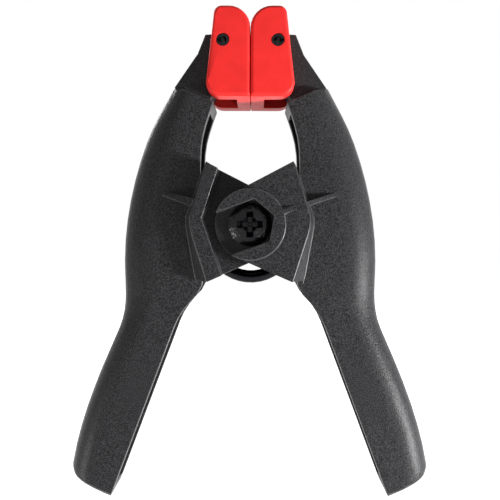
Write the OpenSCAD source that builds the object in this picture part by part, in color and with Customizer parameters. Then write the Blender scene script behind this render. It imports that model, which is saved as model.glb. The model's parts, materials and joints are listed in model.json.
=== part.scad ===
// Spring clamp, 150 mm class: two nylon arms on one screw, closed by a torsion spring, with a swivel pad on each jaw.
// Millimetres. X is across the clamp, Y is its depth with the front at -Y, Z is up with the jaws at the top.
// The shapes are drawn with the pivot at the origin and lifted at the end, so that the handle tips stand on Z = 0.

/* [Arm outline] */
// Outer end of the shoulder's edge, from the middle plane
shoulder_x = 24.7; // [24:0.1:25.6]
// Outer end of the shoulder's edge, above the pivot
shoulder_z = 43.2; // [42.8:0.1:43.8]
// Inner end of the shoulder's edge, from the middle plane
shoulder_in_x = 11.3; // [11.2:0.1:12]
// Inner end of the shoulder's edge, above the pivot
shoulder_in_z = 37.7; // [36.5:0.1:37.8]
// Rise of the sloping shoulder above its edge, up to the neck
shoulder_rise = 3.2; // [2:0.1:3.4]
// Half width across the upper body, beside the throat
chest_x = 33.2; // [32:0.1:35]
// Half width of the throat between the arms
throat_x = 15.1; // [15:0.1:16]
// Half width of the body at its widest
body_x = 40.1; // [38.5:0.1:43]
// The body's widest point, below the pivot
body_z = 11.2; // [6:0.1:12]
// Inner edge of the body beside the pivot
flange_x = 14.4; // [14.2:0.1:15]
// Half width of the waist between body and handle
waist_x = 39.8; // [38:0.1:42]
// Waist, below the pivot
waist_z = 21.5; // [20:0.1:23]
// Half width over the handles
grip_x = 56.3; // [53:0.1:60]
// Widest point of the handles, below the pivot
grip_z = 75.4; // [73:0.2:77]
// Length of the handle's straight end
end_l = 10.8; // [10:0.1:11.2]
// Rise of the handle's end from its tip outwards
end_lean = 22; // [20:0.5:24]
// Inner edge of the handle's tip, from the middle plane
tip_x = 42.9; // [41:0.1:44]
// Handle tips below the pivot
tip_z = 84.1; // [82:0.1:90]
// Slope of the handle's inner edge, from upright
grip_lean = 20.5; // [19:0.1:22]

/* [Arm section] */
// Depth of the body from front to back
body_depth = 17.2; // [17.2:0.1:18]
// Depth of the handles at their ends
grip_depth = 16.4; // [15:0.1:17.2]
// Wall of the hollow arm
wall = 2.6; // [2:0.1:2.8]
// How far the rounding of the outer edge reaches in on the body
body_round = 11.5; // [9:0.1:13]
// The same at the shoulder
shoulder_round = 8; // [6:0.1:10]
// The same on the handles
grip_round = 8.5; // [6:0.1:10]
// Rounding of the handle's end towards front and back
end_round = 1.6; // [0.8:0.1:2.4]

/* [Pivot] */
// Diameter of the pivot screw
screw_d = 8; // [7:0.1:8]
// Radial clearance of the screw in the arms
screw_clearance = 0.05; // [0.03:0.01:0.1]
// Diameter of the boss ring and lugs
boss_d = 21.5; // [21.4:0.1:22.6]
// Width across the flats of the hex pocket
pocket_af = 13.4; // [13.3:0.05:14]
// Depth of the hex pocket
pocket_depth = 3.9; // [3.8:0.1:4.5]
// Floor under the hex pocket
pocket_floor = 2; // [1.8:0.1:3]
// Thickness of the inner lugs
inner_lug_t = 2.6; // [2:0.1:3]
// Gap between lugs that turn on each other
lug_gap = 0.3; // [0.2:0.05:0.4]
// Height of the lug's plate over the body's side
plate_rise = 4.4; // [3:0.1:5]
// Outer side of the lug's plate at its ends, from the middle plane
plate_x = 13.1; // [12.6:0.1:13.3]
// Draft of the plate's side down to the body, beside the throat
plate_draft = 0.8; // [0.6:0.1:1.6]
// The same at the plate's lower end
plate_low_draft = 4; // [3:0.1:4.4]
// Tilt of the hex pocket from level
pocket_tilt = 20; // [15:1:25]
// Slope of the lug's upper edge, down to the bottom of the throat
throat_slope = 27; // [25:0.5:29]
// Slope of the lug's lower edge
crotch_slope = 23.6; // [22:0.1:25]
// Diameter of the barrels that carry the spring
hub_d = 15.6; // [14:0.1:15.8]

/* [Jaws] */
// Pad pin above the pivot
pin_z = 55.8; // [55:0.1:57]
// Pad pin from the closing plane
pin_x = 8.35; // [8.3:0.05:8.6]
// Diameter of the pad pins
pin_d = 4; // [3.5:0.1:4.2]
// Radial clearance of the pads on their pins
pin_clearance = 0.05; // [0.03:0.01:0.1]
// Bore of the hollow pins
pin_bore = 2.4; // [1.6:0.1:2.8]
// Slot along the hollow pins
pin_slot = 0.6; // [0.4:0.1:0.8]
// How far the pins end inside the pads' sides
pin_recess = 0.5; // [0.2:0.1:1]
// Radius round the pin of the relief where the pad's foot swings past the shoulder
relief_r = 17.9; // [17.8:0.1:18]
// Depth of the arm's neck inside the pad
neck_depth = 11.8; // [11:0.1:12]
// Radius of the arm's tip round the pin
tip_r = 3.7; // [3.5:0.05:3.8]
// Top outer corner of the neck, from the middle plane
neck_x = 14.1; // [13.5:0.1:15]
// Foot of the neck's outer edge on the shoulder, from the middle plane
neck_foot_x = 23.6; // [22:0.1:24]
// Slope of the neck's inner edge, from upright
neck_lean = 26; // [25.5:0.1:26.5]

/* [Pads] */
// Depth of a pad from front to back
pad_depth = 24; // [23:0.1:26]
// Top of the pad above its pin
pad_top = 10.5; // [9:0.1:11]
// Bottom of the pad below its pin
pad_bottom = 17; // [16:0.1:17.1]
// Thickness of the clamping block
jaw_block = 4.3; // [4:0.05:4.3]
// Reach of the pad from the closing plane, at its bottom
pad_w = 13.4; // [13:0.1:14]
// The same at its top
pad_top_w = 11.1; // [10.8:0.1:12]
// Radius of the top corner beside the work
pad_nose_r = 6.5; // [4:0.1:7]
// Radius of the top outer corner
pad_top_r = 2.4; // [1.5:0.1:3]
// Radius of the bottom outer corner
pad_foot_r = 4.2; // [3:0.1:5]
// Bevel round the pad's front and back
pad_bevel = 0.7; // [0.4:0.1:1]
// Gap between the closed pads
jaw_gap = 0.1; // [0.05:0.05:0.3]
// Clearance between pad and neck
neck_clearance = 0.3; // [0.2:0.05:0.4]
// Opening of the pad's channel above the pin
pad_ceiling = 4.3; // [4.1:0.1:4.6]

/* [Spring] */
// Wire diameter
wire_d = 2.9; // [2.4:0.1:2.9]
// Outer diameter of the coil
coil_d = 30.2; // [30:0.1:30.6]
// Gap between neighbouring turns
turn_gap = 0.43; // [0.42:0.01:0.46]
// Side clearance of the coil between the inner lugs
coil_clearance = 0.07; // [0.05:0.01:0.1]
// Centre of the front turn, below the pivot
front_drop = 3.9; // [3:0.1:4]
// Centre of the rear turn, below the pivot
rear_drop = 1.7; // [1.7:0.1:4]
// Slope of the legs, from upright
leg_lean = 30; // [29.5:0.1:30]
// Length of a leg beyond the coil
leg_l = 66; // [56:1:66]
// How far the legs' ends are drawn in towards the middle plane
leg_inset = 2.6; // [2:0.1:3.6]

/* [Screw] */
// Head diameter
head_d = 13; // [12:0.1:13]
// Head height
head_h = 3.6; // [3:0.1:3.8]
// Height of the head's straight edge
head_edge = 1.4; // [1:0.1:2]
// Width across the cross recess
recess_w = 8; // [6:0.1:9]
// Width of each arm of the cross recess
recess_t = 1.6; // [1.2:0.1:2]
// Depth of the cross recess
recess_depth = 2.4; // [1.5:0.1:2.8]
// Nut width across the flats
nut_af = 13; // [12.5:0.1:13.2]
// Nut height
nut_h = 3.8; // [3:0.1:4]
// Bevel of the screw's end
screw_bevel = 0.7; // [0.4:0.1:1]

/* [Hidden] */
$fn = 72;

// Overlap of joined solids, reach of cuts past a surface, and the fit of pieces fixed to each other
join = 0.6;
cut = 2;
fit = 0.02;
// How far an edge ends inside another one, so that the two cross at a clean point
tuck = 0.03;

half_body = body_depth / 2;
half_grip = grip_depth / 2;
half_neck = neck_depth / 2;
half_pad = pad_depth / 2;
boss_r = boss_d / 2;
wire_r = wire_d / 2;
coil_r = coil_d / 2 - wire_r;

// Lugs and spring across the depth, counted from the middle plane
spring_turns = 2 + (180 - 2 * leg_lean) / 360;
pitch = wire_d + turn_gap;
spring_half = (spring_turns * pitch + wire_d) / 2;
inner_lug_y = spring_half + coil_clearance;
outer_lug_y = inner_lug_y + inner_lug_t + lug_gap;
pocket_y = outer_lug_y + pocket_floor;
boss_y = pocket_y + pocket_depth;
plate_y = half_body + plate_rise;

// ---- curves ----

function unit(v) = v / norm(v);
function mix(a, b, t) = a + (b - a) * t;
function down(angle) = [sin(angle), -cos(angle)];

// Cubic curve from a to b that leaves and arrives along the given angles from straight down
function curve(a, b, angle_a, angle_b, t) =
    let (reach = norm(b - a), u = 1 - t)
    a * u * u * (1 + 2 * t) + b * t * t * (3 - 2 * t)
    + reach * (down(angle_a) * u * u * t - down(angle_b) * t * t * u);

// Points of an arc round c, from angle a to angle b
function arc(c, r, a, b, steps) = [for (i = [0:steps]) c + r * [cos(mix(a, b, i / steps)), sin(mix(a, b, i / steps))]];

// ---- arm ----

// Point of the handle's straight inner edge at a depth below the pivot
function grip_edge(depth) = [tip_x - (tip_z - depth) * tan(grip_lean), -depth];

// Point of the handle's straight end, at a distance from its tip
function grip_end(reach) = [tip_x + reach * cos(end_lean), reach * sin(end_lean) - tip_z];

// Stations down the arm: outer point and the angle there, inner point and the angle there, reach of the rounding,
// half depth, and steps to the next station
stations = [
    [[neck_foot_x - 1.8, shoulder_z + 1.5], 68, [shoulder_in_x + 1.2, shoulder_in_z + shoulder_rise], -22,
        shoulder_round, half_neck - 0.1, 1],
    [[shoulder_x, shoulder_z], 28, [shoulder_in_x, shoulder_in_z], 20, shoulder_round, half_body, 4],
    [[chest_x, 26], 20, [throat_x, 23.4], 4, body_round, half_body, 6],
    [[body_x, -body_z], 0, [flange_x, -body_z], 0, body_round, half_body, 3],
    [[waist_x, -waist_z], 0, [flange_x + 1.8, -waist_z], 45, body_round, half_body, 4],
    [[waist_x + 2.1, -33], 24, grip_edge(31.5), grip_lean, mix(body_round, grip_round, 0.5), half_body, 7],
    [[grip_x, -grip_z], 9, grip_edge(79), grip_lean, grip_round, half_grip, 2],
    [[grip_x - 0.4, -grip_z - 2.4], -25, grip_edge(tip_z - 1.6), grip_lean, grip_round, half_grip, 3],
    [grip_end(end_l), end_lean - 90, grip_edge(tip_z), grip_lean, grip_round, half_grip - end_round, 0]
];
last_station = len(stations) - 1;
tip_station = 6;

// Position s counts stations: its whole part is the station, its fraction the way to the next one
function at(s) = min(floor(s), last_station - 1);
function outer(s) =
    let (p = stations[at(s)], q = stations[at(s) + 1])
    curve(p[0], q[0], p[1], q[1], s - at(s));
function inner(s) =
    let (p = stations[at(s)], q = stations[at(s) + 1])
    curve(p[2], q[2], p[3], q[3], s - at(s));
function rounding(s) = mix(stations[at(s)][4], stations[at(s) + 1][4], s - at(s));
function half_depth(s) = mix(stations[at(s)][5], stations[at(s) + 1][5], s - at(s));
function inward(s) =
    let (v = unit(outer(s + 0.01) - outer(s - 0.01)))
    [v[1], -v[0]];

positions = [
    for (i = [0:last_station - 1])
        for (k = [0:stations[i][6] - 1])
            i + k / stations[i][6]
];
shell_positions = concat(positions, [last_station]);
hollow_positions = concat([1.22], [for (s = positions) if (s > 1.3 && s < last_station - 0.5) s + tuck]);

// Section of the arm between an inner and an outer point: flat sides, then a quarter ellipse round to the outer edge
round_steps = 6;
function section(from, to, reach, half) =
    let (
        w = norm(to - from),
        e = unit(to - from),
        bend = min(reach, 0.92 * w),
        h = half * sin(acos(1 - min(1, w / reach))),
        flat = [
            for (k = [-round_steps:round_steps])
                [w - bend * (1 - cos(90 * k / round_steps)), h * sin(90 * k / round_steps)]
        ]
    )
    [for (p = concat([[0, -h]], flat, [[0, h]])) [from[0] + e[0] * p[0], p[1], from[1] + e[1] * p[0]]];

// The hollow ends a wall short of the tip, so past the last straight station its inner points are drawn together
function hollow_inner(s) =
    let (start = inner(tip_station), end = norm(inner(last_station) - start))
    s <= tip_station ? inner(s) : mix(start, inner(s), (end - wall) / end);

shell_sections = [for (s = shell_positions) section(inner(s), outer(s), rounding(s), half_depth(s))];
hollow_sections = [
    for (s = hollow_positions)
        let (to = outer(s) + wall * inward(s), from = hollow_inner(s))
        section(from - unit(to - from) * cut, to, rounding(s) - wall, half_depth(s) - wall)
];

// Skin over a row of sections
module loft(sections) {
    n = len(sections[0]);
    rows = len(sections);
    sides = [
        for (i = [0:rows - 2])
            for (j = [0:n - 1])
                let (a = i * n + j, b = i * n + (j + 1) % n)
                each [[a, b, b + n], [a, b + n, a + n]]
    ];
    caps = [
        [for (j = [n - 1:-1:0]) j],
        [for (j = [0:n - 1]) (rows - 1) * n + j]
    ];
    polyhedron([for (s = sections) each s], concat(sides, caps));
}

// Extrudes an outline drawn in x and z from depth y0 to depth y1
module slab(y0, y1) {
    translate([0, y1, 0])
        rotate([90, 0, 0])
            linear_extrude(y1 - y0)
                children();
}

// Round bar along the depth at p = [x, z]
module bar(r, y0, y1, p = [0, 0]) {
    translate([p[0], y1, p[1]])
        rotate([90, 0, 0])
            cylinder(r = r, h = y1 - y0);
}

// Edges of the lugs: straight lines that leave the boss on a tangent
function upper_edge(x) = boss_r / cos(throat_slope) + x * tan(throat_slope);
function lower_edge(x) = -boss_r / cos(crotch_slope) - x * tan(crotch_slope);
upper_tangent = (boss_r - tuck) * [-sin(throat_slope), cos(throat_slope)];
lower_tangent = (boss_r - tuck) * [-sin(crotch_slope), -cos(crotch_slope)];

// Outer side of the plate, from the throat down to the crotch, and its drafted foot on the body
plate_side = [
    [plate_x, upper_edge(plate_x)], [plate_x + 5.2, 2.2], [plate_x + 5, -0.6], [plate_x + 4.4, -2.9],
    [plate_x - 0.2, lower_edge(plate_x - 0.2)]
];
plate_h = upper_edge(plate_x) - lower_edge(plate_x);
plate_foot_side = [
    for (p = plate_side)
        p + [mix(plate_draft, plate_low_draft, pow((plate_side[0][1] - p[1]) / plate_h, 2)), 0]
];
// Edge of the plate on the side where the other arm's lug turns in front of it
band_side = [
    [flange_x - 6, lower_edge(flange_x - 6) + tuck],
    [flange_x + 0.1, 1.8],
    [flange_x - 4.8, upper_edge(flange_x - 4.8) - tuck]
];

module lug_outline() {
    circle(boss_r);
    polygon(concat([lower_tangent, [0, 0], upper_tangent], plate_side));
}

// Plate with drafted sides that leads a lug into the body's side, in front of y = 0
module plate_foot() {
    hull() {
        slab(-plate_y, 0.1 - plate_y) polygon(plate_side);
        slab(join - half_body, join - half_body + 0.1) polygon(plate_foot_side);
    }
}

// Thin rib that runs from the boss or the plate down to the body's side, drawn in to its tip's width
module gusset(from, to, width, tip_width, top) {
    along = unit(to - from);
    across = [-along[1], along[0]] / 2;
    hull() {
        slab(-top, -outer_lug_y)
            polygon([from - width * across, from + width * across, from + 0.1 * along]);
        slab(-half_body, -outer_lug_y)
            polygon([to - tip_width * across, to + tip_width * across, to + 0.1 * along]);
    }
}

module neck_outline() {
    lean = down(neck_lean);
    tip = [pin_x, pin_z];
    inner_top = tip - tip_r * [cos(neck_lean), sin(neck_lean)];
    root = shoulder_in_z - 3;
    inner_foot = inner_top + lean * (inner_top[1] - root) / cos(neck_lean);
    translate(tip)
        circle(tip_r);
    polygon([
        tip + [0, tip_r], [neck_x, pin_z + tip_r - 0.3], [neck_x + 2.5, pin_z - 2.9],
        [neck_foot_x, shoulder_z - 0.6], [neck_foot_x - 1.6, shoulder_z - 3.6], inner_foot, inner_top
    ]);
}

// Hex pocket that runs out through the ring on the side away from the body
module pocket_cut() {
    slab(-boss_y - cut, -pocket_y)
        rotate(pocket_tilt) {
            circle(pocket_af / sqrt(3), $fn = 6);
            translate([-boss_d, -pocket_af / 2])
                square([boss_d, pocket_af]);
        }
}

// The right arm, with its outer lug in front and its inner lug behind
module arm() {
    screw_hole = screw_d / 2 + screw_clearance;
    difference() {
        union() {
            difference() {
                loft(shell_sections);
                loft(hollow_sections);
                bar(relief_r, -half_body - cut, half_body + cut, [pin_x, pin_z]);
            }
            slab(-plate_y, -outer_lug_y) lug_outline();
            bar(boss_r, -boss_y, -outer_lug_y);
            plate_foot();
            gusset([boss_r - 0.8, 3.9], [26.5, 9.4], 1.7, 1.1, boss_y);
            slab(inner_lug_y, inner_lug_y + inner_lug_t) lug_outline();
            bar(hub_d / 2, lug_gap / 2, inner_lug_y + join);
            mirror([0, 1, 0]) {
                intersection() {
                    plate_foot();
                    slab(-plate_y, 0)
                        polygon(concat(band_side, [[body_x, shoulder_in_z], [body_x, -tip_z]]));
                }
                gusset([plate_x + 4, 6.6], [26.6, 9.4], 2.4, 1, plate_y);
            }
            slab(inner_lug_y + inner_lug_t - join, plate_y)
                polygon(concat(band_side, plate_side));
            slab(-half_neck, half_neck) neck_outline();
        }
        pocket_cut();
        bar(screw_hole, -boss_y - cut, boss_y + cut);
        bar(pin_d / 2 + fit, -half_neck - cut, half_neck + cut, [pin_x, pin_z]);
    }
}

// ---- pads, pins, screw and nut ----

pad_in_x = jaw_gap / 2;
pad_top_z = pin_z + pad_top;
pad_bottom_z = pin_z - pad_bottom;
pad_draft = atan((pad_w - pad_top_w) / (pad_top + pad_bottom));

// Outline of the right pad, counter-clockwise from its lower inner corner
module pad_outline(inset) {
    foot = [pad_w - pad_foot_r, pad_bottom_z + pad_foot_r];
    top = [pad_top_w - pad_top_r, pad_top_z - pad_top_r];
    nose = [pad_in_x + pad_nose_r, pad_top_z - pad_nose_r];
    polygon(concat(
        [[pad_in_x + inset, pad_bottom_z + inset]],
        arc(foot, pad_foot_r - inset, -90, pad_draft, 8),
        arc(top, pad_top_r - inset, pad_draft, 90, 6),
        arc(nose, pad_nose_r - inset, 90, 180, 8)
    ));
}

module pad() {
    half_channel = half_neck + neck_clearance;
    block_x = pad_in_x + jaw_block;
    difference() {
        hull() {
            slab(pad_bevel - half_pad, half_pad - pad_bevel) pad_outline(0);
            slab(-half_pad, half_pad) pad_outline(pad_bevel);
        }
        slab(-half_channel, half_channel)
            translate([block_x, pad_bottom_z - cut])
                square([pad_w, pad_bottom + cut + pad_ceiling]);
        bar(pin_d / 2 + pin_clearance, -half_pad - cut, half_pad + cut, [pin_x, pin_z]);
    }
}

module pin() {
    half = half_pad - pin_recess;
    difference() {
        bar(pin_d / 2, -half, half, [pin_x, pin_z]);
        bar(pin_bore / 2, -half - cut, half + cut, [pin_x, pin_z]);
        slab(-half - cut, half + cut)
            translate([pin_x, pin_z - pin_slot / 2])
                square([pin_d, pin_slot]);
    }
}

// Turned piece round the depth axis, with its profile drawn as [radius, distance in front of the middle plane]
module turned(profile) {
    rotate([90, 0, 0])
        rotate_extrude()
            polygon(profile);
}

module pivot_screw() {
    dome = head_h - head_edge;
    dome_r = (pow(head_d / 2, 2) + dome * dome) / (2 * dome);
    rim = acos(head_d / 2 / dome_r);
    top = pocket_y + head_h;
    end = -pocket_y - nut_h;
    color("#1d1d20")
        difference() {
            turned(concat(
                [[0, end], [screw_d / 2 - screw_bevel, end], [screw_d / 2, end + screw_bevel]],
                [[screw_d / 2, pocket_y], [head_d / 2, pocket_y]],
                arc([0, top - dome_r], dome_r, rim, 90, 10)
            ));
            for (a = [0, 90])
                slab(-top - cut, recess_depth - top)
                    rotate(a + pocket_tilt)
                        square([recess_w, recess_t], center = true);
        }
}

module pivot_nut() {
    color("#3a3a3c")
        rotate([0, 0, 180])
            difference() {
                slab(-pocket_y - nut_h, -pocket_y)
                    rotate(pocket_tilt)
                        circle(nut_af / sqrt(3), $fn = 6);
                bar(screw_d / 2 + fit, -boss_y - cut, 0);
            }
}

// ---- spring ----

// Middle of the wire at a turned angle from the front leg, clockwise seen from the front
function coil_point(angle) =
    let (
        t = angle / (360 * spring_turns),
        a = 180 - leg_lean - angle,
        z = -mix(front_drop, rear_drop, t)
    )
    [coil_r * cos(a), mix(-1, 1, t) * spring_turns * pitch / 2, z + coil_r * sin(a)];

rings_per_turn = 24;
wire_sides = 6;
coil_steps = ceil(spring_turns * rings_per_turn);
coil_path = [for (i = [0:coil_steps]) coil_point(360 * spring_turns * i / coil_steps)];
leg_left = coil_path[0] + [-leg_l * sin(leg_lean), leg_inset, -leg_l * cos(leg_lean)];
leg_right = coil_path[coil_steps] + [leg_l * sin(leg_lean), -leg_inset, -leg_l * cos(leg_lean)];
wire_path = concat([leg_left], coil_path, [leg_right]);

// Round section of the wire at point i of its path, turned square to the path
function wire_ring(path, i) =
    let (
        along = unit(path[min(i + 1, len(path) - 1)] - path[max(i - 1, 0)]),
        side = unit(cross(along, [0, 1, 0])),
        up = cross(side, along)
    )
    [for (k = [0:wire_sides - 1])
        path[i] + wire_r * (cos(360 * k / wire_sides) * side + sin(360 * k / wire_sides) * up)];

wire_sections = [for (i = [0:len(wire_path) - 1]) wire_ring(wire_path, i)];

// Least distance between turns, measured between surface points at least half a turn apart
least_gap = min([
    for (i = [0:len(wire_path) - 1])
        for (j = [i + rings_per_turn / 2:1:len(wire_path) - 1])
            norm(wire_path[i] - wire_path[j])
]) - wire_d;
echo(least_gap = least_gap);

module torsion_spring() {
    color("#8a8c90")
        loft(wire_sections);
}

// ---- pieces in place ----

module arm_right() {
    color("#2b2b2e")
        arm();
}

module arm_left() {
    color("#2b2b2e")
        rotate([0, 0, 180])
            arm();
}

module jaw_pad_right() {
    color("#e3262b")
        pad();
}

module jaw_pad_left() {
    color("#e3262b")
        mirror([1, 0, 0])
            pad();
}

module pad_pin_right() {
    color("#2f2f33")
        pin();
}

module pad_pin_left() {
    color("#2f2f33")
        mirror([1, 0, 0])
            pin();
}

translate([0, 0, tip_z]) {
    arm_right();
    arm_left();
    jaw_pad_right();
    jaw_pad_left();
    pad_pin_right();
    pad_pin_left();
    pivot_screw();
    pivot_nut();
    torsion_spring();
}
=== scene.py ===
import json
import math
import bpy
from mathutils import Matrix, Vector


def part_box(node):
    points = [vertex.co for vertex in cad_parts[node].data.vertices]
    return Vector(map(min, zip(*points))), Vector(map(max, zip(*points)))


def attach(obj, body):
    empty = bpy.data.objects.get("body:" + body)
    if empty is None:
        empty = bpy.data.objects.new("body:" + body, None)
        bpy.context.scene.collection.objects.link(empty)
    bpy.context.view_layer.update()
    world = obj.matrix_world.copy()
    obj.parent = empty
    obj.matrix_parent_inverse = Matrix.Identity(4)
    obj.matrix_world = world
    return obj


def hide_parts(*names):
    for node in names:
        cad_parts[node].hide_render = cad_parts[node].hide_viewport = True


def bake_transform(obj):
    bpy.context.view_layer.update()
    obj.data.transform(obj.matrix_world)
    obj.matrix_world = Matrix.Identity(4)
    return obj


bl_info = {
    "name": "Spring clamp",
    "version": (1, 0, 0),
    "blender": (4, 5, 0),
    "location": "View3D > Sidebar > Clamp",
    "description": "Dresses the spring clamp's frame: nylon arms, red pads, pins, screw, nut and spring",
    "category": "Object",
}

import bmesh
import bpy
from mathutils import Matrix, Vector

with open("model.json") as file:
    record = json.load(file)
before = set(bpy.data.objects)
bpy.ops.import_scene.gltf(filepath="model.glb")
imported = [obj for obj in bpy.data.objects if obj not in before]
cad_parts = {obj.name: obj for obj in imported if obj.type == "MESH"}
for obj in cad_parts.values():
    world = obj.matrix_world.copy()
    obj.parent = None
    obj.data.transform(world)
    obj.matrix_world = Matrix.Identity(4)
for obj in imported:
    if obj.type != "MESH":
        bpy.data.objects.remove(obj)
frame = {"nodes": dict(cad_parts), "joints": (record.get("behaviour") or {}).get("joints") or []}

MM = 0.001
PIVOT = next(Vector(joint["pos_m"]) for joint in frame["joints"] if joint["name"] == "jaw_open")
SIDES = ("right", "left")

SAME = 0.001 * MM  # a new shape's corners nearer than this are joined
JOIN = 0.004 * MM  # a solid's corners nearer than this are joined
ARM_JOIN = 0.12 * MM  # the same for the arms, whose short edges would keep long ones from being rounded
FLAT = math.radians(0.8)  # neighbouring faces that turn less than this become one
SHARP = math.radians(30)  # edges that turn more than this are rounded
ROOM = 1.2  # least length of a rounded edge and of those that meet it, in widths of the rounding
CLEAR_OF_SHARP = math.radians(15)  # least angle between a rounded edge and another sharp one at its end
CLEAR_OF_PLAIN = math.radians(12)  # least angle between a rounded edge and a plain one at its end


# ---- settings ----

class ClampSizes(bpy.types.PropertyGroup):
    """Sizes of the dressed pieces."""

    edge_round: bpy.props.FloatProperty(
        name="Moulding edge", description="Rounding of the arms' edges", default=0.22 * MM, unit="LENGTH"
    )
    pad_edge: bpy.props.FloatProperty(
        name="Pad edge", description="Rounding of the pads' edges", default=0.35 * MM, unit="LENGTH"
    )
    steel_edge: bpy.props.FloatProperty(
        name="Steel edge", description="Rounding of the fasteners' edges", default=0.18 * MM, unit="LENGTH"
    )
    head: bpy.props.FloatProperty(
        name="Screw head", description="Diameter of the screw's head", default=13 * MM, unit="LENGTH"
    )
    dome: bpy.props.FloatProperty(
        name="Dome", description="Height of the head's dome", default=2.2 * MM, unit="LENGTH"
    )
    recess: bpy.props.FloatProperty(
        name="Cross recess", description="Width across the screw's recess", default=9 * MM, unit="LENGTH"
    )
    wire: bpy.props.FloatProperty(
        name="Wire", description="Diameter of the spring's wire", default=2.9 * MM, unit="LENGTH"
    )
    coil: bpy.props.FloatProperty(
        name="Coil", description="Outer diameter of the spring's coil", default=30.2 * MM, unit="LENGTH"
    )
    leg: bpy.props.FloatProperty(
        name="Legs", description="Length of the spring's legs beyond the coil", default=66 * MM, unit="LENGTH"
    )


class ClampFinish(bpy.types.PropertyGroup):
    """Colours of the pieces."""

    nylon: bpy.props.FloatVectorProperty(
        name="Nylon", description="Arms", subtype="COLOR", default=(0.0235, 0.0235, 0.0248), min=0, max=1
    )
    red: bpy.props.FloatVectorProperty(
        name="Pads", description="Jaw pads", subtype="COLOR", default=(0.89, 0.034, 0.031), min=0, max=1
    )
    black_oxide: bpy.props.FloatVectorProperty(
        name="Screw", description="Screw", subtype="COLOR", default=(0.003, 0.003, 0.004), min=0, max=1
    )
    dark_steel: bpy.props.FloatVectorProperty(
        name="Pins and nut", description="Pins and nut", subtype="COLOR", default=(0.022, 0.022, 0.024),
        min=0, max=1,
    )
    wire: bpy.props.FloatVectorProperty(
        name="Spring", description="Spring wire", subtype="COLOR", default=(0.02, 0.02, 0.0225), min=0, max=1
    )


class ClampStudio(bpy.types.PropertyGroup):
    """Camera, floor and light."""

    lens: bpy.props.FloatProperty(name="Lens", description="Focal length in millimetres", default=44.0)
    distance: bpy.props.FloatProperty(
        name="Camera distance", description="From the clamp's middle plane", default=196 * MM, unit="LENGTH"
    )
    drop: bpy.props.FloatProperty(
        name="Camera drop", description="Below the pivot", default=3.16 * MM, unit="LENGTH"
    )
    side: bpy.props.FloatProperty(
        name="Camera side", description="To the right of the pivot", default=2.5 * MM, unit="LENGTH"
    )
    roll: bpy.props.FloatProperty(
        name="Camera roll", description="Turn of the picture", default=math.radians(0.15), unit="ROTATION"
    )
    shift: bpy.props.FloatVectorProperty(
        name="Frame shift", description="Share of the frame, across and up", size=2, default=(-0.0162, -0.03)
    )
    glow: bpy.props.FloatProperty(name="Floor", description="The floor's own light, where seen", default=0.94)
    ambient: bpy.props.FloatProperty(name="Ambient", description="Light from all round", default=0.1)


# ---- materials ----

def new_material(name):
    """A node material, with its tree, its shader and the Object coordinates."""
    material = bpy.data.materials.new(name)
    material.use_nodes = True
    tree = material.node_tree
    shader = tree.nodes["Principled BSDF"]
    place = tree.nodes.new("ShaderNodeTexCoord")
    return material, tree, shader, place.outputs["Object"]


def noise(tree, place, scale, detail, roughness=0.5):
    """Pattern of noise, from 0 to 1."""
    node = tree.nodes.new("ShaderNodeTexNoise")
    node.inputs["Scale"].default_value = scale
    node.inputs["Detail"].default_value = detail
    node.inputs["Roughness"].default_value = roughness
    tree.links.new(place, node.inputs["Vector"])
    return node.outputs["Fac"]


def spread(tree, pattern, within, low, high):
    """Goes from low to high as the pattern rises within its two values."""
    node = tree.nodes.new("ShaderNodeMapRange")
    node.inputs["From Min"].default_value = within[0]
    node.inputs["From Max"].default_value = within[1]
    node.inputs["To Min"].default_value = low
    node.inputs["To Max"].default_value = high
    tree.links.new(pattern, node.inputs["Value"])
    return node.outputs["Result"]


def tint(tree, shader, pattern, within, colour, dark, light):
    """Colours the shader from dark to light times the colour as the pattern rises within its two values."""
    node = tree.nodes.new("ShaderNodeMix")
    node.data_type = "RGBA"
    node.inputs["A"].default_value = (*(min(1.0, c * dark) for c in colour), 1)
    node.inputs["B"].default_value = (*(min(1.0, c * light) for c in colour), 1)
    tree.links.new(spread(tree, pattern, within, 0, 1), node.inputs["Factor"])
    tree.links.new(node.outputs["Result"], shader.inputs["Base Color"])


def roughen(tree, shader, pattern, within, low, high):
    """Roughness from low to high as the pattern rises within its two values."""
    tree.links.new(spread(tree, pattern, within, low, high), shader.inputs["Roughness"])


def bump(tree, shader, pattern, distance, strength):
    """Raises the surface by the pattern."""
    node = tree.nodes.new("ShaderNodeBump")
    node.inputs["Distance"].default_value = distance
    node.inputs["Strength"].default_value = strength
    tree.links.new(pattern, node.inputs["Height"])
    tree.links.new(node.outputs["Normal"], shader.inputs["Normal"])


def nylon_material(finish):
    """Charcoal nylon with the coarse grain of a spark-eroded mould."""
    material, tree, shader, place = new_material("charcoal_nylon")
    grain = noise(tree, place, scale=3200, detail=2, roughness=0.55)
    cloud = noise(tree, place, scale=90, detail=3)
    tint(tree, shader, grain, within=(0.36, 0.7), colour=finish.nylon, dark=0.25, light=2.5)
    roughen(tree, shader, cloud, within=(0.3, 0.7), low=0.3, high=0.37)
    shader.inputs["Specular IOR Level"].default_value = 0.11
    bump(tree, shader, grain, distance=0.12 * MM, strength=0.7)
    return material


def rubbed_and_highlit_nylon_material(finish):
    """The same nylon along its edges, rubbed glossier, and painted lighter as a highlight along the edges."""
    material, tree, shader, place = new_material("rubbed_and_highlit_nylon")
    grain = noise(tree, place, scale=1200, detail=2, roughness=0.6)
    # painted highlight: the edges' colour is set lighter than the nylon's, standing in for light caught along
    # the edges
    tint(tree, shader, grain, within=(0.34, 0.66), colour=finish.nylon, dark=1.1, light=2.8)
    roughen(tree, shader, grain, within=(0.34, 0.66), low=0.32, high=0.44)
    shader.inputs["Specular IOR Level"].default_value = 0.35
    return material


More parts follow.
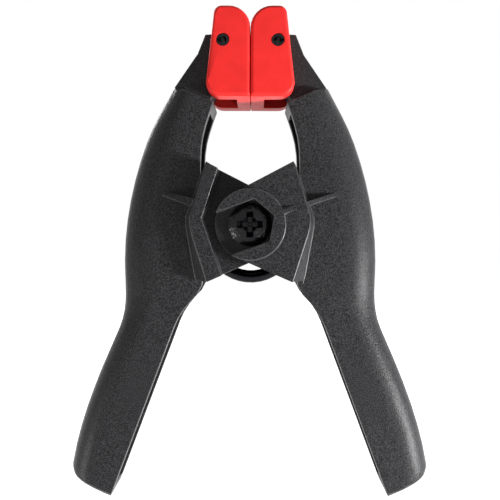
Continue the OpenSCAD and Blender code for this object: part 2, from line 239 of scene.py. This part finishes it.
def pad_material(finish):
    """Bright red satin plastic, slightly uneven."""
    material, tree, shader, place = new_material("red_pad_plastic")
    cloud = noise(tree, place, scale=160, detail=3)
    fine = noise(tree, place, scale=2600, detail=2)
    tint(tree, shader, cloud, within=(0.3, 0.7), colour=finish.red, dark=0.93, light=1.06)
    roughen(tree, shader, cloud, within=(0.3, 0.7), low=0.38, high=0.5)
    shader.inputs["Specular IOR Level"].default_value = 0.12
    bump(tree, shader, fine, distance=0.02 * MM, strength=0.4)
    return material


def steel_material(name, colour, roughness, scale):
    """Plain steel with fine uneven reflections."""
    material, tree, shader, place = new_material(name)
    fine = noise(tree, place, scale, detail=3)
    tint(tree, shader, fine, within=(0.3, 0.7), colour=colour, dark=0.85, light=1.2)
    roughen(tree, shader, fine, within=(0.3, 0.7), low=roughness * 0.8, high=roughness * 1.2)
    shader.inputs["Metallic"].default_value = 1
    return material


def black_finish_material(finish):
    """Glossy black finish of the screw."""
    material, tree, shader, place = new_material("glossy_black")
    fine = noise(tree, place, scale=700, detail=3)
    tint(tree, shader, fine, within=(0.3, 0.7), colour=finish.black_oxide, dark=0.7, light=1.6)
    roughen(tree, shader, fine, within=(0.3, 0.7), low=0.12, high=0.24)
    shader.inputs["IOR"].default_value = 1.3
    bump(tree, shader, fine, distance=0.4 * MM, strength=0.8)
    return material


# ---- mesh helpers ----

def solid_copy(node, join):
    """The frame's solid as a clean mesh: joined corners, and flat faces in one piece."""
    bm = bmesh.new()
    bm.from_mesh(frame["nodes"][node].data)
    bmesh.ops.remove_doubles(bm, verts=bm.verts, dist=join)
    bmesh.ops.dissolve_degenerate(bm, dist=join, edges=bm.edges)
    bmesh.ops.dissolve_limit(
        bm, angle_limit=FLAT, verts=bm.verts, edges=bm.edges, use_dissolve_boundaries=False
    )
    return bm


def roomy_edges(bm, width):
    """Sharp edges whose rounding has room at both ends."""
    sharp = [e for e in bm.edges if len(e.link_faces) == 2 and e.calc_face_angle(0) > SHARP]
    chosen = set(sharp)

    def roomy(edge, vert):
        along = edge.other_vert(vert).co - vert.co
        for other in vert.link_edges:
            if other.calc_length() < ROOM * width:
                return False
            if other is not edge:
                apart = along.angle(other.other_vert(vert).co - vert.co)
                if apart < (CLEAR_OF_SHARP if other in chosen else CLEAR_OF_PLAIN):
                    return False
        return True

    return [e for e in sharp if all(roomy(e, v) for v in e.verts)]


def round_edges(bm, width):
    """Rounds the edges that have room for it, and gives the new faces the piece's second material."""
    made = bmesh.ops.bevel(
        bm, geom=roomy_edges(bm, width), offset=width, affect="EDGES", segments=2, profile=0.5, material=-1,
        clamp_overlap=False,
    )
    for face in made["faces"]:
        face.material_index = 1


def cut_away(bm, cutter):
    """The first mesh without the second, as a new mesh."""
    objects = []
    for part in (bm, cutter):
        mesh = bpy.data.meshes.new("blank")
        part.to_mesh(mesh)
        part.free()
        objects.append(bpy.data.objects.new("blank", mesh))
        bpy.context.scene.collection.objects.link(objects[-1])
    blank, tool = objects
    cut = blank.modifiers.new("Cut", "BOOLEAN")
    cut.operation = "DIFFERENCE"
    cut.solver = "EXACT"
    cut.object = tool
    result = bmesh.new()
    result.from_object(blank, bpy.context.evaluated_depsgraph_get())
    for used in objects:
        mesh = used.data
        bpy.data.objects.remove(used)
        bpy.data.meshes.remove(mesh)
    return result


def turned(profile, steps):
    """Solid of revolution round the depth axis, from points of (radius, distance in front of the pivot)."""
    bm = bmesh.new()
    row = [bm.verts.new(PIVOT + Vector((r, -front, 0))) for r, front in profile]
    edges = [bm.edges.new(pair) for pair in zip(row, row[1:])]
    bmesh.ops.spin(
        bm, geom=row + edges, cent=PIVOT, axis=(0, 1, 0), angle=math.tau, steps=steps, use_merge=True
    )
    bmesh.ops.remove_doubles(bm, verts=bm.verts, dist=SAME)
    bmesh.ops.recalc_face_normals(bm, faces=bm.faces)
    return bm


def add_piece(name, bm, materials, body, node, smooth=math.radians(35)):
    """Makes the mesh an object that rides on its body and stands for its solid."""
    mesh = bpy.data.meshes.new(name)
    bm.to_mesh(mesh)
    bm.free()
    for material in materials:
        mesh.materials.append(material)
    piece = bpy.data.objects.new(name, mesh)
    bpy.context.scene.collection.objects.link(piece)
    mesh.shade_smooth()
    mesh.set_sharp_from_angle(angle=smooth)
    weighted = piece.modifiers.new("Even shading", "WEIGHTED_NORMAL")
    weighted.keep_sharp = True
    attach(piece, body)
    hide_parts(node)


def add_rounded(name, width, materials, body, node, join=JOIN):
    """Makes the frame's solid a piece, with rounded edges in the second of its materials."""
    bm = solid_copy(node, join)
    round_edges(bm, width)
    add_piece(name, bm, materials, body, node)


# ---- pieces ----

class CLAMP_OT_arms(bpy.types.Operator):
    """Dress both arms"""

    bl_idname = "clamp.arms"
    bl_label = "Arms"

    def execute(self, context):
        width = context.scene.clamp_sizes.edge_round
        finish = context.scene.clamp_finish
        materials = (nylon_material(finish), rubbed_and_highlit_nylon_material(finish))
        for side in SIDES:
            arm = f"arm_{side}"
            add_rounded(f"arm_{side}_moulding", width, materials, arm, arm, ARM_JOIN)
        return {"FINISHED"}


class CLAMP_OT_pads(bpy.types.Operator):
    """Dress both jaw pads"""

    bl_idname = "clamp.pads"
    bl_label = "Pads"

    def execute(self, context):
        width = context.scene.clamp_sizes.pad_edge
        material = pad_material(context.scene.clamp_finish)
        for side in SIDES:
            add_rounded(
                f"pad_{side}_moulding", width, (material, material), f"pad_{side}",
                f"jaw_pad_{side}",
            )
        return {"FINISHED"}


class CLAMP_OT_fasteners(bpy.types.Operator):
    """Dress the pins, the screw and the nut"""

    bl_idname = "clamp.fasteners"
    bl_label = "Pins, screw and nut"

    def execute(self, context):
        sizes = context.scene.clamp_sizes
        finish = context.scene.clamp_finish
        width = sizes.steel_edge
        steel = steel_material("oiled_steel", finish.dark_steel, roughness=0.22, scale=900)
        for side in SIDES:
            add_rounded(
                f"pin_{side}_steel", width, (steel, steel), f"arm_{side}", f"pad_pin_{side}"
            )
        black = black_finish_material(finish)
        add_piece(
            "screw_steel", self.screw(sizes), (black, black), "arm_left", "pivot_screw",
            smooth=math.radians(28),
        )
        add_rounded("nut_steel", width, (steel, steel), "arm_left", "pivot_nut")
        return {"FINISHED"}

    def screw(self, sizes):
        """Domed screw with a cross recess."""
        head_height, shaft, chamfer, edge = 3.6 * MM, 4 * MM, 0.7 * MM, 0.3 * MM
        dome_steps, steps = 12, 64
        low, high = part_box("pivot_screw")
        front, back = -low.y, -high.y
        seat = front - head_height
        rim = front - sizes.dome
        radius = sizes.head / 2
        ball = (radius * radius + sizes.dome * sizes.dome) / (2 * sizes.dome)
        start = math.acos(radius / ball)
        angles = (start + (math.pi / 2 - start) * i / dome_steps for i in range(dome_steps))
        dome = [(ball * math.cos(a), front - ball + ball * math.sin(a)) for a in angles]
        profile = [
            (0, back), (shaft - chamfer, back), (shaft, back + chamfer), (shaft, seat), (radius - edge, seat),
            (radius, seat + edge), (radius, rim - edge), *dome, (0, front),
        ]
        bm = cut_away(turned(profile, steps), self.cross(sizes, front))
        bm = cut_away(bm, self.flare(front))
        bmesh.ops.remove_doubles(bm, verts=bm.verts, dist=JOIN)
        return bm

    def cross(self, sizes, front):
        """Tapered cross, wide at the head's front and half as wide at its bottom."""
        thick, depth, taper, proud = 2.4 * MM, 3.4 * MM, 0.5, 0.2 * MM
        bm = bmesh.new()
        bmesh.ops.create_cube(bm, size=thick)
        sides = [f for f in bm.faces if abs(f.normal.y) < 0.5]
        for face in sides:
            made = bmesh.ops.extrude_discrete_faces(bm, faces=[face])["faces"][0]
            bmesh.ops.translate(bm, verts=made.verts, vec=made.normal * (sizes.recess - thick) / 2)
        bmesh.ops.remove_doubles(bm, verts=bm.verts, dist=SAME)
        deep = [v for v in bm.verts if v.co.y > 0]
        bmesh.ops.scale(bm, verts=deep, vec=(taper, 1, taper))
        bmesh.ops.scale(bm, verts=bm.verts, vec=(1, depth / thick, 1))
        bmesh.ops.recalc_face_normals(bm, faces=bm.faces)
        bmesh.ops.translate(bm, verts=bm.verts, vec=PIVOT + Vector((0, depth / 2 - front - proud, 0)))
        return bm

    def flare(self, front):
        """Cone that opens the corners between the cross's wings."""
        wide, narrow, depth, sunk, steps = 2.7 * MM, 0.5 * MM, 3.8 * MM, 1.7 * MM, 24
        middle = PIVOT + Vector((0, sunk - front, 0))
        bm = bmesh.new()
        bmesh.ops.create_cone(
            bm, cap_ends=True, segments=steps, radius1=wide, radius2=narrow, depth=depth,
            matrix=Matrix.Translation(middle) @ Matrix.Rotation(-math.pi / 2, 4, "X"),
        )
        return bm


class CLAMP_OT_spring(bpy.types.Operator):
    """Dress the spring"""

    bl_idname = "clamp.spring"
    bl_label = "Spring"
    lean = math.radians(30)  # the legs' angle from upright
    sharp = math.radians(50)  # turn between faces that stays sharp, at the wire's cut ends
    reach = Vector((0.3, 2.2, 0)) * MM  # half the stretch over which the wire goes from one arm to the other

    def execute(self, context):
        sizes = context.scene.clamp_sizes
        material = steel_material("spring_wire", context.scene.clamp_finish.wire, roughness=0.2, scale=700)
        line = bpy.data.curves.new("wire_path", "CURVE")
        line.dimensions = "3D"
        line.bevel_depth = sizes.wire / 2
        line.bevel_resolution = 5
        line.use_fill_caps = True
        path = self.path(sizes)
        spline = line.splines.new("POLY")
        spline.points.add(len(path) - 1)
        for point, place in zip(spline.points, path):
            point.co = (*place, 1)
        blank = bpy.data.objects.new("wire_path", line)
        context.scene.collection.objects.link(blank)
        mesh = bpy.data.meshes.new_from_object(blank.evaluated_get(context.evaluated_depsgraph_get()))
        bpy.data.objects.remove(blank)
        bpy.data.curves.remove(line)
        bm = bmesh.new()
        bm.from_mesh(mesh)
        bmesh.ops.remove_doubles(bm, verts=bm.verts, dist=SAME)
        bmesh.ops.recalc_face_normals(bm, faces=bm.faces)
        bm.to_mesh(mesh)
        bm.free()
        mesh.name = "spring_wire"
        mesh.materials.clear()
        mesh.materials.append(material)
        mesh.shade_smooth()
        mesh.set_sharp_from_angle(angle=self.sharp)
        piece = bpy.data.objects.new("spring_wire", mesh)
        context.scene.collection.objects.link(piece)
        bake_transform(piece)
        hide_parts("torsion_spring")
        return {"FINISHED"}

    def path(self, sizes):
        """Middle of the wire: up the left leg, round the coil from front to back, and down the right leg."""
        gap = 0.43 * MM  # between the turns
        drop = 3.9 * MM  # from the pivot down to the coil's middle at the front
        rise = 2.2 * MM  # of the coil's middle from front to back
        inset = 2.6 * MM  # from the coil's ends to the legs' ends, in depth
        steps = 96
        turn = 2.5 * math.tau - 2 * self.lean
        radius = (sizes.coil - sizes.wire) / 2
        depth = turn / math.tau * (sizes.wire + gap)
        coil = []
        for i in range(steps + 1):
            share = i / steps
            angle = math.pi - self.lean - turn * share
            coil.append(Vector((
                radius * math.cos(angle),
                depth * (share - 0.5),
                radius * math.sin(angle) - drop + rise * share,
            )))
        across, down = sizes.leg * math.sin(self.lean), sizes.leg * math.cos(self.lean)
        left = coil[0] + Vector((-across, inset, -down))
        right = coil[-1] + Vector((across, -inset, -down))
        return [PIVOT + point for point in (left, *coil, right)]


class CLAMP_OT_stage(bpy.types.Operator):
    """Set up the floor, the lamps and the camera"""

    bl_idname = "clamp.stage"
    bl_label = "Stage"
    lamps = (  # name, direction from the pivot, distance and width in metres, power in watts
        ("key", (0.89, -0.36, -0.27), 0.4, 0.07, 3.3),
        ("glint", (0.56, -0.62, -0.55), 0.4, 0.025, 0.3),
        ("second", (-0.82, -0.36, -0.44), 0.5, 0.07, 1.05),
        ("back", (-0.3, 0.72, 0.62), 0.7, 0.5, 3.8),
    )

    def execute(self, context):
        scene = context.scene
        studio = scene.clamp_studio
        scene.view_settings.view_transform = "Standard"
        self.floor(scene)
        self.world(scene)
        for lamp in self.lamps:
            self.lamp(scene, *lamp)
        camera = bpy.data.objects.new("camera", bpy.data.cameras.new("camera"))
        scene.collection.objects.link(camera)
        scene.camera = camera
        camera.data.lens = studio.lens
        camera.data.sensor_width = 36
        camera.data.shift_x, camera.data.shift_y = studio.shift
        camera.data.clip_start = 0.005
        camera.location = (studio.side, -studio.distance, PIVOT.z - studio.drop)
        camera.rotation_euler = (math.radians(90), -studio.roll, 0)
        return {"FINISHED"}

    def shown(self, tree):
        """1 where a ray comes from the camera, a gloss or a glass, and 0 where it lights a matt surface."""
        seen = tree.nodes.new("ShaderNodeLightPath")
        value = seen.outputs["Is Camera Ray"]
        for name in ("Is Glossy Ray", "Is Transmission Ray"):
            larger = tree.nodes.new("ShaderNodeMath")
            larger.operation = "MAXIMUM"
            tree.links.new(value, larger.inputs[0])
            tree.links.new(seen.outputs[name], larger.inputs[1])
            value = larger.outputs["Value"]
        return value

    def floor(self, scene):
        """Pale floor, low enough for the handles to swing past it."""
        material, tree, shader, _ = new_material("white_floor")
        shader.inputs["Base Color"].default_value = (0.85, 0.85, 0.85, 1)
        shader.inputs["Roughness"].default_value = 0.8
        shader.inputs["Specular IOR Level"].default_value = 0
        shader.inputs["Emission Color"].default_value = (1, 1, 1, 1)
        share = tree.nodes.new("ShaderNodeMath")
        share.operation = "MULTIPLY"
        share.inputs[1].default_value = scene.clamp_studio.glow
        tree.links.new(self.shown(tree), share.inputs[0])
        tree.links.new(share.outputs["Value"], shader.inputs["Emission Strength"])
        bm = bmesh.new()
        swing = max((v.co - PIVOT).xz.length for v in frame["nodes"]["arm_left"].data.vertices)
        low = Matrix.Translation((0, 0, PIVOT.z - swing))
        bmesh.ops.create_grid(bm, x_segments=2, y_segments=2, size=3, matrix=low)
        mesh = bpy.data.meshes.new("floor")
        bm.to_mesh(mesh)
        bm.free()
        mesh.materials.append(material)
        floor = bpy.data.objects.new("floor", mesh)
        floor.visible_shadow = False  # three of the lamps stand below it
        scene.collection.objects.link(floor)

    def world(self, scene):
        """Surroundings that are seen white and give a weak even light."""
        world = bpy.data.worlds.new("studio")
        scene.world = world
        world.use_nodes = True
        tree = world.node_tree
        light = tree.nodes["Background"]
        light.inputs["Color"].default_value = (1, 1, 1, 1)
        light.inputs["Strength"].default_value = scene.clamp_studio.ambient
        white = tree.nodes.new("ShaderNodeBackground")
        white.inputs["Color"].default_value = (1, 1, 1, 1)
        white.inputs["Strength"].default_value = 1
        mixed = tree.nodes.new("ShaderNodeMixShader")
        tree.links.new(self.shown(tree), mixed.inputs["Fac"])
        tree.links.new(light.outputs["Background"], mixed.inputs[1])
        tree.links.new(white.outputs["Background"], mixed.inputs[2])
        tree.links.new(mixed.outputs["Shader"], tree.nodes["World Output"].inputs["Surface"])

    def lamp(self, scene, name, direction, distance, width, power):
        """Square soft lamp that stands at a distance from the pivot, in the direction given."""
        data = bpy.data.lights.new(name, "AREA")
        data.energy = power
        data.size = width
        lamp = bpy.data.objects.new(name, data)
        aim = Vector(direction).normalized()
        lamp.location = PIVOT + distance * aim
        lamp.rotation_mode = "QUATERNION"
        lamp.rotation_quaternion = (-aim).to_track_quat("-Z", "Y")
        scene.collection.objects.link(lamp)


class CLAMP_PT_panel(bpy.types.Panel):
    """Lists the clamp's pieces"""

    bl_idname = "CLAMP_PT_panel"
    bl_label = "Spring clamp"
    bl_space_type = "VIEW_3D"
    bl_region_type = "UI"
    bl_category = "Clamp"

    def draw(self, context):
        column = self.layout.column()
        for operator in OPERATORS:
            column.operator(operator.bl_idname)


GROUPS = {"clamp_sizes": ClampSizes, "clamp_finish": ClampFinish, "clamp_studio": ClampStudio}
OPERATORS = (CLAMP_OT_arms, CLAMP_OT_pads, CLAMP_OT_fasteners, CLAMP_OT_spring, CLAMP_OT_stage)
CLASSES = (*GROUPS.values(), *OPERATORS, CLAMP_PT_panel)


def register():
    """Adds the classes and the scene's settings."""
    for made in CLASSES:
        bpy.utils.register_class(made)
    for name, group in GROUPS.items():
        setattr(bpy.types.Scene, name, bpy.props.PointerProperty(type=group))


def unregister():
    """Takes them out again."""
    for name in GROUPS:
        delattr(bpy.types.Scene, name)
    for made in reversed(CLASSES):
        bpy.utils.unregister_class(made)


def main():
    """Dresses the clamp."""
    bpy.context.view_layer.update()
    register()
    bpy.ops.clamp.arms()
    bpy.ops.clamp.pads()
    bpy.ops.clamp.fasteners()
    bpy.ops.clamp.spring()
    bpy.ops.clamp.stage()


if __name__ == "__main__":
    main()
